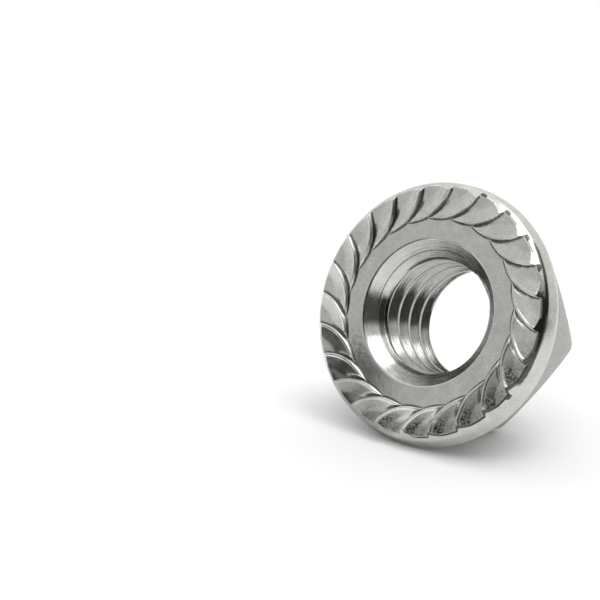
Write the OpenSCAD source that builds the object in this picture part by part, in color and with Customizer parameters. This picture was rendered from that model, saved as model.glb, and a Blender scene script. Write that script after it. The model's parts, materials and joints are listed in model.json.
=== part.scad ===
// Serrated flange nut, lying as it comes to rest: on its rim and on one flat of its hexagon.
// Lengths are in millimetres and angles in degrees.
// Heights along the bore are measured from the plane of the tooth crests, into the nut.

/* [Bore] */
// Diameter of the bore, which is the diameter over the thread's crests (3/8-16)
bore_d = 8.1; // [7.8:0.05:8.4]
// Diameter of the countersink where it opens in the bearing face
countersink_d = 10.6; // [10:0.1:11]
// Angle between the countersink's wall and the bore's axis
countersink_angle = 42; // [35:1:50]
// Diameter of the small chamfer that opens the bore at the top
mouth_d = 9.1; // [8.8:0.1:9.8]
// Depth of that chamfer
mouth_depth = 0.6; // [0.3:0.05:1]

/* [Hexagon] */
// Width across flats
across_flats = 14.25; // [13.6:0.05:14.6]
// Rounding radius of the six upright corners
corner_r = 0.8; // [0.3:0.1:1.4]
// Whole height, from the tooth crests to the top
nut_h = 8.6; // [8.2:0.1:9.2]
// Radius of the level ring at the top, inside the dome
crown_r = 4.9; // [4.9:0.1:5.4]
// Radius of the arc that the dome's section follows from there to the corners
dome_r = 5.6; // [5:0.1:7]

/* [Flange] */
// Diameter of the flange
flange_d = 19; // [18.4:0.1:19.4]
// Height of the rim's widest part, where its lower rounding ends
rim_low = 0.85; // [0.7:0.05:1]
// Height where the rim's straight band ends
rim_high = 1.45; // [1.2:0.05:1.6]
// Radius of the rounding between that band and the slope
rim_round = 0.5; // [0.3:0.05:0.6]
// Slope of the flange's upper side, up to the hexagon
flange_slope = 25; // [20:1:28]
// Radius of the hollow rounding between that slope and the hexagon's flats
foot_round = 0.8; // [0.4:0.1:1]

/* [Serrations] */
// Number of teeth around the bearing face
tooth_count = 24; // [20:1:28]
// Height of the crests above the plain ring that they stand round
tooth_depth = 0.45; // [0.3:0.05:0.5]
// Radius of the arc that each tooth's steep side follows
tooth_arc_r = 3.3; // [3.1:0.1:3.5]
// Distance of that arc's centre from the bore's axis, along the tooth
tooth_arc_out = 9.45; // [9.3:0.05:9.6]
// Radius of the ball-shaped hollow in a tooth's back
dish_r = 17; // [14:1:22]
// Slope of the back at the crest's outer end
tooth_ramp = 21; // [19:0.5:23]
// Radius at which the crests end and the rim's rounding starts
crest_end_r = 8.6; // [8.3:0.1:8.9]
// Turn of the teeth against the corners of the hexagon
tooth_turn = -2.5; // [-7:0.5:7]

/* [Hidden] */
$fn = 96;

hex_sides = 6;
flat_r = across_flats / 2;
flange_r = flange_d / 2;
steel = [0.70, 0.70, 0.67];

// The plain ring of the bearing face lies this far inside the crests.
land_z = tooth_depth;
// The rim's lower rounding, as two bevels that meet at the level of the plain ring.
bevel_r = crest_end_r + 0.6 * (flange_r - crest_end_r);
// A cut reaches this far past the face that it opens in.
past = 1;

// Arc of the dome's section: points from the level ring down and outwards.
dome_steps = 8;
dome_end_angle = 42;
dome_arc = [
    for (i = [0 : dome_steps])
        let (a = dome_end_angle * i / dome_steps)
            [crown_r + dome_r * sin(a), nut_h - dome_r * (1 - cos(a))]
];

// Arc of the rim's upper rounding: points from the straight band to the slope.
rim_steps = 4;
rim_arc = [
    for (i = [0 : rim_steps])
        let (a = (90 - flange_slope) * i / rim_steps)
            [flange_r - rim_round * (1 - cos(a)), rim_high + rim_round * sin(a)]
];
slope_start = rim_arc[rim_steps];

// Hollow rounding at the hexagon's foot, from the slope up. It stands this far inside the flats,
// so that it crosses them and doesn't only touch them.
foot_inset = 0.05;
foot_steps = 4;
foot_centre_r = flat_r - foot_inset + foot_round;
foot_centre_z = slope_start[1] + (slope_start[0] - foot_centre_r) * tan(flange_slope)
    + foot_round / cos(flange_slope);
foot_arc = [
    for (i = [0 : foot_steps])
        let (a = flange_slope + (90 - flange_slope) * i / foot_steps)
            [foot_centre_r - foot_round * sin(a), foot_centre_z - foot_round * cos(a)]
];

// The nut lies on its rim and on the middle of one flat's upper edge.
flat_z = nut_h - dome_r + sqrt(pow(dome_r, 2) - pow(flat_r - crown_r, 2));
lie_tilt = max([for (p = rim_arc) atan((p[0] - flat_r) / (flat_z - p[1]))]);
lie_height = flat_r * cos(lie_tilt) + flat_z * sin(lie_tilt);

// How far the lying nut reaches before and behind the middle of its crest plane.
reach_front = crest_end_r * sin(lie_tilt);
reach_back = (crown_r + dome_r * sin(lie_tilt)) * sin(lie_tilt)
    + (nut_h - dome_r * (1 - cos(lie_tilt))) * cos(lie_tilt);

// Outline of the hexagon with rounded corners, the first corner at angle 0.
corner_steps = 4;
corner_centre_r = flat_r / cos(30) - corner_r / cos(30);
hexagon_outline = [
    for (k = [0 : hex_sides - 1])
        for (i = [0 : corner_steps])
            let (corner = 360 / hex_sides * k, a = corner - 30 + 60 * i / corner_steps)
                [
                    corner_centre_r * cos(corner) + corner_r * cos(a),
                    corner_centre_r * sin(corner) + corner_r * sin(a)
                ]
];

// Everything below the dome, turned about the bore's axis.
module dome_envelope() {
    rotate_extrude()
        polygon(concat([[0, 0], [0, nut_h]], dome_arc, [[flange_r, dome_arc[dome_steps][1] - 1], [flange_r, 0]]));
}

// The six-sided body, rounded at its corners and domed at the top.
module hexagon_body() {
    intersection() {
        translate([0, 0, land_z + past])
            linear_extrude(height = nut_h)
                polygon(hexagon_outline);
        dome_envelope();
    }
}

// The flange under its teeth: rim, rounding and slope.
module flange() {
    rotate_extrude()
        polygon(concat(
            [[0, land_z], [bevel_r, land_z], [flange_r, rim_low]],
            rim_arc,
            foot_arc,
            [[0, foot_centre_z]]
        ));
}

// One tooth, like a dished scale. An arc that ends at the crest's outer end makes its steep side,
// and a large ball hollows its back, which falls from there towards the arc's centre.
module tooth() {
    arc_side = sqrt(pow(tooth_arc_r, 2) - pow(tooth_arc_out - crest_end_r, 2));
    heading = -atan2(arc_side, tooth_arc_out - crest_end_r);
    ball_reach = dish_r * sin(tooth_ramp);
    difference() {
        translate([tooth_arc_out, -arc_side, -past])
            cylinder(h = land_z + 2 * past, r = tooth_arc_r);
        translate([
            crest_end_r + ball_reach * cos(heading),
            ball_reach * sin(heading),
            -dish_r * cos(tooth_ramp)
        ])
            sphere(r = dish_r);
    }
}

// The ring of teeth, trimmed to the rim's rounding.
module serrations() {
    intersection() {
        for (k = [0 : tooth_count - 1])
            rotate([0, 0, tooth_turn + 360 / tooth_count * k])
                tooth();
        rotate_extrude()
            polygon([
                [0, 0], [crest_end_r, 0], [bevel_r, land_z],
                [flange_r, rim_low], [flange_r, rim_low + 0.1], [0, rim_low + 0.1]
            ]);
    }
}

// The bore with its countersink and its upper chamfer, as one cutter.
module bore() {
    bore_r = bore_d / 2;
    mouth_r = mouth_d / 2;
    open_r = countersink_d / 2;
    sink_depth = (open_r - bore_r) / tan(countersink_angle);
    translate([0, 0, -past])
        cylinder(h = nut_h + 2 * past, r = bore_r);
    translate([0, 0, land_z - past])
        cylinder(h = sink_depth + past, r1 = open_r + past * tan(countersink_angle), r2 = bore_r);
    translate([0, 0, nut_h - mouth_depth])
        cylinder(h = 2 * mouth_depth, r1 = bore_r, r2 = 2 * mouth_r - bore_r);
}

// The nut on its own axes, crests at height 0.
module nut() {
    difference() {
        union() {
            flange();
            hexagon_body();
            serrations();
        }
        bore();
    }
}

// The nut laid down, the middle of its footprint at the origin.
module flange_nut() {
    color(steel)
        translate([0, (reach_front - reach_back) / 2, lie_height])
            rotate([-90 - lie_tilt, 0, 0])
                nut();
}

flange_nut();
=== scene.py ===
# %% [markdown]
# A serrated flange nut in satin steel, lying on its rim and on one flat of its hexagon.
# The imported model comes first: it is the fixed frame that every piece here is built around.
# Its box is kept.

import json
import math

import bmesh
import bpy
import numpy as np
from mathutils import Matrix, Vector


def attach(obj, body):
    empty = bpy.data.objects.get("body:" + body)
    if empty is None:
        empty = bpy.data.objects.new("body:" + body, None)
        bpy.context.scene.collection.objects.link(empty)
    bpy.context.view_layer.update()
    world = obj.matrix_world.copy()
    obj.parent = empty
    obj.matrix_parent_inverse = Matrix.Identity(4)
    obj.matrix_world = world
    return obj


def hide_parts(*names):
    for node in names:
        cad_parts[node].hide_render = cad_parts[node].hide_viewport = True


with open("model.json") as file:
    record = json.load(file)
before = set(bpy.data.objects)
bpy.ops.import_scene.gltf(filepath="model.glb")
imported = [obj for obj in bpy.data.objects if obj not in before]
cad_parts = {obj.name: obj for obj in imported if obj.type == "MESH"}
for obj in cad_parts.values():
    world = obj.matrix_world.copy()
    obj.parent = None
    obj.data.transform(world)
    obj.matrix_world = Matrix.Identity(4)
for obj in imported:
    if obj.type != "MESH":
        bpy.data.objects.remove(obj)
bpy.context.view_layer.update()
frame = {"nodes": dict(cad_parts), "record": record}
print("nodes in the frame:", sorted(frame["nodes"]))

# %% [markdown]
# A nut is turned and tapped round one axis, so its sizes are simplest on axes of its own: the
# origin in the middle of the toothed face, at the height of the crests, z along the bore and into
# the nut, x to the side and y down the toothed face. The frame's record says where the bore lies,
# so the matrix from these axes (in millimetres) to the frame (in metres) is worked out from it.

# %% The nut's own axes
MM = 0.001

LAND = 0.45  # depth of the plain ring below the tooth crests
NUT_H = 8.6  # from the crests to the domed end
SINK_R = 5.3  # countersink, where it opens in the ring
SINK_SLOPE = math.tan(math.radians(42))
MOUTH_R = 4.55  # small chamfer at the domed end
MOUTH_DEPTH = 0.6

bore = next(m for m in frame["record"]["mounts"] if m["name"] == "thread")
BORE_R = bore["dims"]["r_mm"]  # over the thread's crests
sink_end = LAND + (SINK_R - BORE_R) / SINK_SLOPE
bore_middle = (sink_end + NUT_H - MOUTH_DEPTH) / 2

inward = -Vector(bore["axis"])
sideways = Vector((1, 0, 0))
downward = inward.cross(sideways)
face_middle = Vector(bore["pos_m"]) - inward * bore_middle * MM
nut_axes = Matrix((sideways, downward, inward)).transposed().to_4x4()
NUT = Matrix.Translation(face_middle) @ nut_axes @ Matrix.Scale(MM, 4)
print("middle of the toothed face, mm:", [round(x / MM, 3) for x in face_middle])

# %% [markdown]
# Turned shapes are lines of a few corner points, and hardly any corner on a real nut is sharp.
# One helper turns corners into arcs, for lines drawn as (radius, height). Another softens the
# corner between three points in space, for the edges that wander over the toothed face. A soft
# ramp between two limits lets one form grow out of another without a crease.

# %% Helpers for lines, corners and ramps
TINY = 1e-6


def rounded(corners, radii, steps):
    """The line through some corner points, with each corner turned into an arc of its radius."""
    corners = [np.array(c, float) for c in corners]
    line = [corners[0]]
    for i, (radius, count) in enumerate(zip(radii, steps), 1):
        back = corners[i - 1] - corners[i]
        on = corners[i + 1] - corners[i]
        back = back / np.linalg.norm(back)
        on = on / np.linalg.norm(on)
        half = math.acos(np.clip(back @ on, -1, 1)) / 2
        reach = radius / math.tan(half)
        middle = corners[i] + (back + on) / np.linalg.norm(back + on) * radius / math.sin(half)
        first = corners[i] + back * reach - middle
        last = corners[i] + on * reach - middle
        swing = math.pi - 2 * half
        for k in range(count + 1):
            a = math.sin((1 - k / count) * swing)
            b = math.sin(k / count * swing)
            line.append(middle + (a * first + b * last) / math.sin(swing))
    line.append(corners[-1])
    return np.array(line)


def part_way(start, end, reach):
    """The point at a given reach along the way from one point to another."""
    return start + (end - start) * min(1, reach / max(TINY, np.linalg.norm(end - start)))


def softened(before, corner, after, reach, steps):
    """Points that round a corner in space, from a reach before it to a reach after it."""
    start = part_way(corner, before, reach[0])
    end = part_way(corner, after, reach[1])
    t = np.linspace(0, 1, steps + 1)[:, None]
    return (1 - t) ** 2 * start + 2 * t * (1 - t) * corner + t ** 2 * end


def polar(r, angle, z):
    """A point from its radius and its angle in degrees."""
    a = np.radians(angle)
    return np.stack(np.broadcast_arrays(r * np.cos(a), r * np.sin(a), z), -1)


def radius_angle(p):
    """Radius and angle in degrees of points."""
    return np.hypot(p[..., 0], p[..., 1]), np.degrees(np.arctan2(p[..., 1], p[..., 0]))


def smooth(t, low=0.0, high=1.0):
    """0 at the low limit and 1 at the high one, with a soft start and end."""
    t = np.clip((t - low) / (high - low), 0, 1)
    return t * t * (3 - 2 * t)


print("a quarter of the way up a soft ramp:", smooth(0.25))

# %% [markdown]
# The nut is one skin of several grids of points. Each grid is a table of points in rows and
# columns, and neighbours share the points along their border, so a merge by distance closes the
# skin. Where a fine border meets a coarse one on a flat face, a fan of triangles joins them.
# Points also carry marks, which are numbers from 0 to 1 that tell the material where painted shade,
# painted reflections and grime, painted highlights and wear, and dull pockets may lie. They travel
# with the mesh as named attributes.

# %% Helpers that turn grids of points into a mesh
MARKS = ("grime", "pocket", "outline", "notch_shade", "rim_dark_reflection", "rim_reflection_line", "worn")


class Skin:
    """Collects grids of points, with marks for the material, and makes one mesh of them."""

    def __init__(self):
        self.points = []
        self.marks = {name: [] for name in MARKS}
        self.faces = []

    def add_points(self, points, **marks):
        first = len(self.points)
        points = np.asarray(points).reshape(-1, 3)
        self.points.extend(points)
        for name, values in self.marks.items():
            values.extend(np.broadcast_to(np.asarray(marks.get(name, 0.0)).reshape(-1), len(points)))
        return first

    def grid(self, table, **marks):
        rows, columns = table.shape[:2]
        first = self.add_points(table, **marks)
        for i in range(rows - 1):
            for j in range(columns - 1):
                a = first + i * columns + j
                self.faces.append((a, a + 1, a + columns + 1, a + columns))

    def fan(self, fine, coarse):
        """Joins a row of points to one with fewer: every coarse stretch meets several fine ones."""
        share = (len(fine) - 1) // (len(coarse) - 1)
        a = self.add_points(fine)
        b = self.add_points(coarse)
        for j in range(len(coarse) - 1):
            turn = share // 2
            for k in range(share):
                end = b + j + (k > turn)
                self.faces.append((a + j * share + k, a + j * share + k + 1, end))
                if k == turn:
                    self.faces.append((a + j * share + k + 1, b + j + 1, b + j))

    def make(self, name):
        mesh = bpy.data.meshes.new(name)
        mesh.from_pydata([tuple(p) for p in self.points], [], self.faces)
        for mark_name, values in self.marks.items():
            mesh.attributes.new(mark_name, "FLOAT", "POINT").data.foreach_set("value", values)
        piece = bpy.data.objects.new(name, mesh)
        bpy.context.scene.collection.objects.link(piece)
        print(name, len(mesh.polygons), "faces")
        return piece


# %% [markdown]
# The teeth are what makes this nut hold: 24 scales round the bearing face, each with a dished back
# that climbs to a curved crest and drops down a steep wall. Seen from above, a crest follows an arc
# of a circle that lies beside the bore, and the foot of its wall another one. Modelling a scale
# with a boolean would leave knife edges, so its grid follows the crest and the wall: one patch for
# the back, one strip for the crest, wall and foot, and one more for the plain ring inside. All of
# it is a wedge of 15 degrees, so that 24 copies close the ring.

# %% Sizes of one tooth
TEETH = 24
TOOTH_ANGLE = 360 / TEETH
FOOT_CIRCLE = (np.array((9.31, -3.57)), 3.30)  # middle and radius
CREST_CIRCLE = (np.array((9.32, -3.47)), 3.15)
BEVEL_R = 9.10  # a bevel of 45 degrees round the face passes this radius at the ring's depth
EDGE = 0.05  # small roundings reach this far from a corner
BACK_COLUMNS = 16
WALL_COLUMNS = 8
TOOTH_COLUMNS = BACK_COLUMNS + WALL_COLUMNS
ROWS = 28
print("one wedge takes", TOOTH_ANGLE, "degrees")

# %% [markdown]
# Two places on those circles matter. Where a circle crosses its neighbour, one tooth on, is the
# inner corner of a scale. Where it comes out through the bevel, the crest or the foot ends. Both
# follow from the sides of one triangle: the axis, the circle's middle and the point.


# %% Where a crest starts and ends
def on_circle(circle, angle):
    centre, radius = circle
    return centre + radius * np.stack([np.cos(angle), np.sin(angle)], -1)


def angle_at(circle, distance, side):
    """Where on a circle its distance from the bore's axis is the given one."""
    centre, radius = circle
    far = np.linalg.norm(centre)
    swing = math.acos((distance ** 2 - far ** 2 - radius ** 2) / (2 * radius * far))
    return math.atan2(centre[1], centre[0]) + side * swing


def meeting_distance(circle):
    """Distance from the axis at which a circle meets its neighbour, one tooth on."""
    centre, radius = circle
    far = np.linalg.norm(centre)
    half = math.radians(TOOTH_ANGLE / 2)
    return far * math.cos(half) - math.sqrt(radius ** 2 - (far * math.sin(half)) ** 2)


corner_distance = meeting_distance(FOOT_CIRCLE)
CREST_START = angle_at(FOOT_CIRCLE, corner_distance, -1) + 2 * math.pi
CREST_PASSED = angle_at(FOOT_CIRCLE, corner_distance, 1)  # where the next tooth's corner is passed
CREST_END = angle_at(CREST_CIRCLE, BEVEL_R - LAND, 1)
print("inner corner of a scale at radius, mm:", round(corner_distance, 2))

# %% [markdown]
# The back of a scale is dished like a spoon. A power of the distance from the crest gives that
# hollow curve in one short formula. The crest itself climbs from a low inner end to its full
# height. Towards the rim the floor between the teeth rises a little, and a soft maximum lets the
# dish run out on it.

# %% Heights of the floor and of the dished back
FLOOR_RISE = 0.17  # the floor between the teeth climbs this much towards the rim
FLOOR_RISE_FROM = 7.2
BACK_REACH = 1.9  # the dished back meets the floor this far from the crest
BACK_POWER = 1.35  # 1 would be a plain ramp
CREST_LOW = 0.14  # height of the crest at its inner end
CREST_FULL = 0.9  # share of the crest's length where it is at full height
CREST_POWER = 1.45
RUN_OUT = 0.03  # softness of the line where the dish meets the floor


def floor_height(r):
    """Height of the floor between the teeth above the plain ring."""
    return FLOOR_RISE * smooth(r, FLOOR_RISE_FROM, BEVEL_R - FLOOR_RISE)


def back_height(x, y):
    """Height of the dished back above the ring: it falls from the crest to the floor."""
    centre, radius = CREST_CIRCLE
    away = np.hypot(x - centre[0], y - centre[1])
    turned = np.arctan2(y - centre[1], x - centre[0]) % (2 * math.pi)
    way = np.clip((CREST_START - turned) / (CREST_START - CREST_END), 0, 1)
    climbed = 1 - np.maximum(0, 1 - way / CREST_FULL) ** CREST_POWER
    crest = CREST_LOW + (LAND - CREST_LOW) * climbed
    dish = crest * (1 - np.minimum(1, (radius - away) / BACK_REACH)) ** BACK_POWER
    floor = floor_height(np.hypot(x, y))
    above = dish - floor
    return floor + (above + np.sqrt(above ** 2 + RUN_OUT ** 2)) / 2


print("the floor climbs by, mm:", round(floor_height(BEVEL_R), 2))

# %% [markdown]
# One section stands across the crest at each point along it: the lip where the back starts, the
# crest's narrow level top, the steep wall and its foot. The same few points in every section make
# a strip whose long edges follow the crest, so its small roundings stay even from end to end. Only
# at the outer end they are wider, as there the real crests are worn down.

# %% The crest, its wall and the wall's foot
CREST_TOP = 0.13  # width of a crest's level top
BACK_START = 0.22  # the dished back starts this far behind the crest
EDGE_AT_END = 0.03  # a crest's outer end is rounded this much wider
WEAR_FROM, WEAR_FULL = 0.45, 0.95  # shares of the rows towards the rim
WALL_LEAN = 3  # that wear reaches this many times further down the wall than over the top
WALL_SHARES = (0.45, 0.85, 1)  # rows of points down the wall
GROWN_AFTER = 5  # rows in which the wall grows from nothing at the inner corner
SHOULDER_STEPS, CREST_EDGE_STEPS = 1, 2  # points in the roundings before and at the crest


def tooth_lines():
    """The foot line and the sharp crest line of one tooth, from its inner corner to the rim."""
    inner = np.linspace(CREST_START, CREST_PASSED, BACK_COLUMNS + 1)
    along = np.linspace(0, 1, ROWS + 1)[1:]
    foot_end = angle_at(FOOT_CIRCLE, BEVEL_R - FLOOR_RISE, 1)
    foot_turns = np.concatenate([inner, CREST_PASSED + (foot_end - CREST_PASSED) * along])
    crest_turns = np.concatenate([inner, CREST_PASSED + (CREST_END - CREST_PASSED) * along])
    foot = on_circle(FOOT_CIRCLE, foot_turns)
    crest = on_circle(CREST_CIRCLE, crest_turns)
    grown = smooth(np.arange(len(foot)), 0, GROWN_AFTER)
    crest = foot + (crest - foot) * grown[:, None]
    return foot, crest, grown


def wall_strip():
    """The crest's top, the wall and its foot: one section for each point along the crest."""
    foot, crest, grown = tooth_lines()
    worn_from = BACK_COLUMNS + WEAR_FROM * ROWS
    worn_full = BACK_COLUMNS + WEAR_FULL * ROWS
    wear = EDGE_AT_END * smooth(np.arange(len(foot)), worn_from, worn_full)
    sections = []
    for f, c, g, more in zip(foot, crest, grown, wear):
        out = (c - CREST_CIRCLE[0]) / np.linalg.norm(c - CREST_CIRCLE[0])
        behind = c - out * BACK_START * g
        edge = c - out * CREST_TOP * g
        top_z = LAND - back_height(*c) * g
        back = np.array([*behind, LAND - back_height(*behind) * g])
        shoulder = np.array([*edge, top_z])
        top = np.array([*c, top_z])
        base = np.array([*f, LAND - floor_height(np.hypot(*f))])
        small = EDGE * g
        line = [[back]]
        line.append(softened(back, shoulder, top, (small, small), SHOULDER_STEPS))
        reach = (small + more, small + WALL_LEAN * more)
        line.append(softened(shoulder, top, base, reach, CREST_EDGE_STEPS))
        wall_top = line[-1][-1]
        line.append([wall_top + (base - wall_top) * t for t in WALL_SHARES])
        sections.append(np.concatenate(line))
    strip = np.array(sections)
    # The last section lies on the bevel.
    r, angle = radius_angle(strip[-1])
    strip[-1] = polar(BEVEL_R - LAND + strip[-1, :, 2], angle, strip[-1, :, 2])
    return strip


wall = wall_strip()
print("sections along a crest:", len(wall), "with", wall.shape[1], "points each")

# %% [markdown]
# The back lies between four lines that are known by now: the foot of the tooth before it, its own
# lip, the inner end of that lip and the bevel. A patch between four lines is filled by blending
# each pair of opposite lines and taking away what both blends count twice. Radius and angle are
# filled like that, and the formula for the dish gives the height.

# %% The dished back
BACK_CROWDING = 1.25  # columns get closer towards the crest
FIRST_COLUMN = 0.03  # the corner at the foot is kept narrow
LEAVE_FOOT = 0.2  # the dish is reached over this share of the back
EDGE_ROUNDS = 8  # repeats that settle where the dish and the bevel meet
GAP_POWER = 4  # how quickly the inner border's last small step is faded out


def across_back():
    """Share of the way from a foot to the next crest, for each column of a back."""
    share = 1 - (1 - np.linspace(0, 1, BACK_COLUMNS + 1)) ** BACK_CROWDING
    share[1] = FIRST_COLUMN
    return share


def filled(left, right, inner, outer, u, v):
    """A table between four lines: both blends, less the corners that both of them count."""
    left, right = left[:, None], right[:, None]
    sides = (1 - u) * left + u * right
    ends = (1 - v) * inner + v * outer
    inner_corners = (1 - u) * left[0] + u * right[0]
    outer_corners = (1 - u) * left[-1] + u * right[-1]
    return sides + ends - (1 - v) * inner_corners - v * outer_corners


def back_patch(strip):
    """The dished back, between the wall of the tooth before it, its own crest and the rim."""
    n = BACK_COLUMNS
    lip_r, lip_angle = radius_angle(strip[:, 0])
    foot_r, foot_angle = radius_angle(strip[n:, -1])
    foot_angle = foot_angle - TOOTH_ANGLE
    u = across_back()
    v = np.linspace(0, 1, ROWS + 1)[:, None]

    def height(r, angle):
        point = polar(r, angle, floor_height(r))
        floor = point[..., 2]
        dish = back_height(point[..., 0], point[..., 1])
        return floor + (dish - floor) * smooth(u, 0, LEAVE_FOOT)

    # The outer edge runs along the bevel, which gets narrower where the back is higher.
    edge_angle = foot_angle[-1] + (lip_angle[-1] - foot_angle[-1]) * u
    edge_r = np.full(n + 1, BEVEL_R)
    for _ in range(EDGE_ROUNDS):
        edge_r = BEVEL_R - height(edge_r, edge_angle)
    edge_r[-1] = lip_r[-1]
    gap = LAND - strip[: n + 1, 0, 2] - height(lip_r[: n + 1], lip_angle[: n + 1])
    r = filled(foot_r, lip_r[n:], lip_r[: n + 1], edge_r, u, v)
    a = filled(foot_angle, lip_angle[n:], lip_angle[: n + 1], edge_angle, u, v)
    table = polar(r, a, LAND - height(r, a) - gap * (1 - v) ** GAP_POWER)
    table[:, -1] = strip[n:, 0]
    return table


# One scale: the back and, to the right of it, the wall that drops to the next one.
scale = np.concatenate([back_patch(wall), wall[BACK_COLUMNS:, 1:]], axis=1)
print("points on one scale:", scale.shape[0] * scale.shape[1])

# %% [markdown]
# The scales end in a scalloped edge on the bevel that was turned round the face. From that edge the
# grid runs over the bevel and round the rim, where its columns are evened out, so that the plain
# band of the rim can meet the other side of the nut point for point.

# %% The scalloped edge, the bevel and the rim
RIM_R = 9.5
RIM_JOIN_Z = 1.42  # depth where this wedge meets the one of the other side
BEVEL_END = 0.65  # depth at which the bevel passes into the rim
RIM_UPRIGHT_Z = 1.3  # depth from which the rim is upright
BEVEL_ROUNDS = (0.6, 0.2)
ROUND_STEPS = 3
BEVEL_ROWS = (0.12, 0.4, 0.7)  # shares of the way over the bevel
BEVEL_EVENED = 0.25  # share of the evening out that is done on the bevel
ALONG_BEVEL = 0.2


def bevel_strip(edge, step_before):
    """From the scalloped edge over the bevel and the rim's rounding to the band round the flange."""
    start = (BEVEL_R - LAND, 0)
    turn = (BEVEL_R - LAND + BEVEL_END, BEVEL_END)
    corners = [start, turn, (RIM_R, RIM_UPRIGHT_Z), (RIM_R, RIM_JOIN_Z + 1)]
    line = rounded(corners, BEVEL_ROUNDS, (ROUND_STEPS, ROUND_STEPS))[:-1]
    line[-1] = (RIM_R, RIM_JOIN_Z)
    r, angle = radius_angle(edge)
    column = TOOTH_ANGLE / TOOTH_COLUMNS
    even = np.round(angle[0] / column) * column + np.arange(TOOTH_COLUMNS + 1) * column
    rows = []
    for t in BEVEL_ROWS:
        s = r + (line[1, 0] - r) * t
        rows.append(polar(s, angle + (even - angle) * BEVEL_EVENED * t, edge[:, 2] + s - r))
    for k, (s, z) in enumerate(line[1:], 1):
        evened = BEVEL_EVENED + (1 - BEVEL_EVENED) * smooth(k / (len(line) - 1))
        rows.append(polar(s, angle + (even - angle) * evened, z))
    ahead = polar(r + ALONG_BEVEL, angle, edge[:, 2] + ALONG_BEVEL)
    places = zip(step_before, edge, ahead)
    soft = [softened(b, e, a, (EDGE, EDGE), ROUND_STEPS) for b, e, a in places]
    soft = np.array(soft).transpose(1, 0, 2)
    return soft, np.array([soft[-1]] + rows)


soft_edge, bevel = bevel_strip(scale[-1], scale[-2])
print("rows from the scalloped edge to the rim's band:", len(bevel))

# %% [markdown]
# The nut's colour is not even all over. Painted shade, with some grime, sits in the corner at the
# foot of each wall, and painted shade fills the notches between the crests' outer ends. The steep
# outer ends of the backs are dull pockets, partly pitted and partly painted shade. The crests get a
# painted highlight, partly rubbed bright. A painted dark line follows the outline of each scale, and
# a painted dark reflection lies on the bevel as a band or a line. Here each of these gets its place
# on one tooth. The material decides later where round the nut it shows.

# %% Marks on one tooth
# Painted shade, with some grime, at the feet of the walls and in their inner corners.
FOOT_SHADE_AND_GRIME = (1, 0.6, 0.35, 0.75, 1)  # first two and last three columns, foot to foot
CORNER_SHADE_AND_GRIME = (0.5, 0.9)  # in the narrow inner corners, before the foot
# A painted highlight, partly rubbed wear, over the crests.
CREST_WEAR_AND_HIGHLIGHT = (0.5, 1, 1, 1, 1, 0.6)  # columns over the crest
NOTCH_START = (1, 1, 1, 0.6)  # columns from a foot, and up to the next one
NOTCH_END = (0.3, 0.8, 1)
# Where a pocket starts and stops across the back, and from which radius on it is there.
STEEP_STARTS, STEEP_STOPS, STEEP_R = (0.3, 0.65), (0.93, 0.99), (6.9, 8.1)
END_STARTS, END_STOPS, END_R = (0, 0.15), (0.9, 0.98), (7.7, 8.4)
END_STRENGTH = 0.62
# First row and the values from there on, for the marks on the bevel.
# Painted shade along the outlines and in the notches, and a painted dark reflection as a band and a line
# on the bevel.
BEVEL_MARKS = {
    "outline": (0, (1, 0.95, 0.35)),
    "rim_dark_reflection": (0, (1, 1, 1, 0.9, 0.6, 0.3)),
    "rim_reflection_line": (4, (0.8, 1, 0.5)),
    "notch_shade": (0, (1, 1, 1, 0.7, 0.3)),
}


def in_rows(table, first, values):
    """A mark that has one value for each of some rows of a table, and 0 in the others."""
    filled_rows = np.zeros(table.shape[:2])
    filled_rows[first : first + len(values)] = np.array(values)[:, None]
    return filled_rows


def in_columns(first, last=()):
    """A mark that has values in the first and last columns of a tooth, and 0 between them."""
    middle = np.zeros(TOOTH_COLUMNS + 1 - len(first) - len(last))
    return np.concatenate([first, middle, last])


def on_back(starts, stops, from_r):
    """A mark between two places across the back, from a radius on, and 0 over the wall."""
    share = across_back()
    across = smooth(share, *starts) * (1 - smooth(share, *stops))
    return np.concatenate([across, np.zeros(WALL_COLUMNS)]) * smooth(radius_angle(scale)[0], *from_r)


every_row = np.ones((ROWS, 1))
foot_grime = in_columns(FOOT_SHADE_AND_GRIME[:2], FOOT_SHADE_AND_GRIME[2:])
crest_wear_and_highlight = in_columns((0,) * BACK_COLUMNS + CREST_WEAR_AND_HIGHLIGHT)
steep = on_back(STEEP_STARTS, STEEP_STOPS, STEEP_R)
pockets = np.maximum(steep, END_STRENGTH * on_back(END_STARTS, END_STOPS, END_R))
bevel_marks = {name: in_rows(bevel, *rows) for name, rows in BEVEL_MARKS.items()}
bevel_marks["notch_shade"] *= in_columns(NOTCH_START, NOTCH_END)
print("marks on the bevel:", sorted(bevel_marks))

# %% [markdown]
# The wedge is put together from its grids. The rows over the rounded edge fade the marks of the
# scale out. Inside the scales the plain ring runs in to the countersink, whose points are further
# apart, so a fan of triangles closes the last step.

# %% The wedge of one tooth
BORE_COLUMNS = 192
BORE_STEP = 360 / BORE_COLUMNS
BORE_EDGE_R = SINK_R + 0.2
RING_SHARES = (0, 0.04, 0.15, 0.35, 0.6, 0.85)  # rows from the foot line to the countersink
# Painted shade, with some grime, on the ring beside the walls' feet.
RING_SHADE_AND_GRIME = (1, 0.6, 0.15)
FADE = np.array([1, 0.8, 0.5, 0.2, 0])[:, None]

skin = Skin()
scale_marks = {"grime": every_row * foot_grime, "worn": every_row * crest_wear_and_highlight}
skin.grid(scale[:-1], pocket=pockets[:-1], **scale_marks)
fading = {"grime": FADE * foot_grime, "pocket": FADE * pockets[-1], "worn": FADE * crest_wear_and_highlight}
edge_rows = np.concatenate([scale[-2:-1], soft_edge])
skin.grid(edge_rows, outline=np.tile(1 - FADE, TOOTH_COLUMNS + 1), **fading)
skin.grid(bevel, **bevel_marks)

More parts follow.
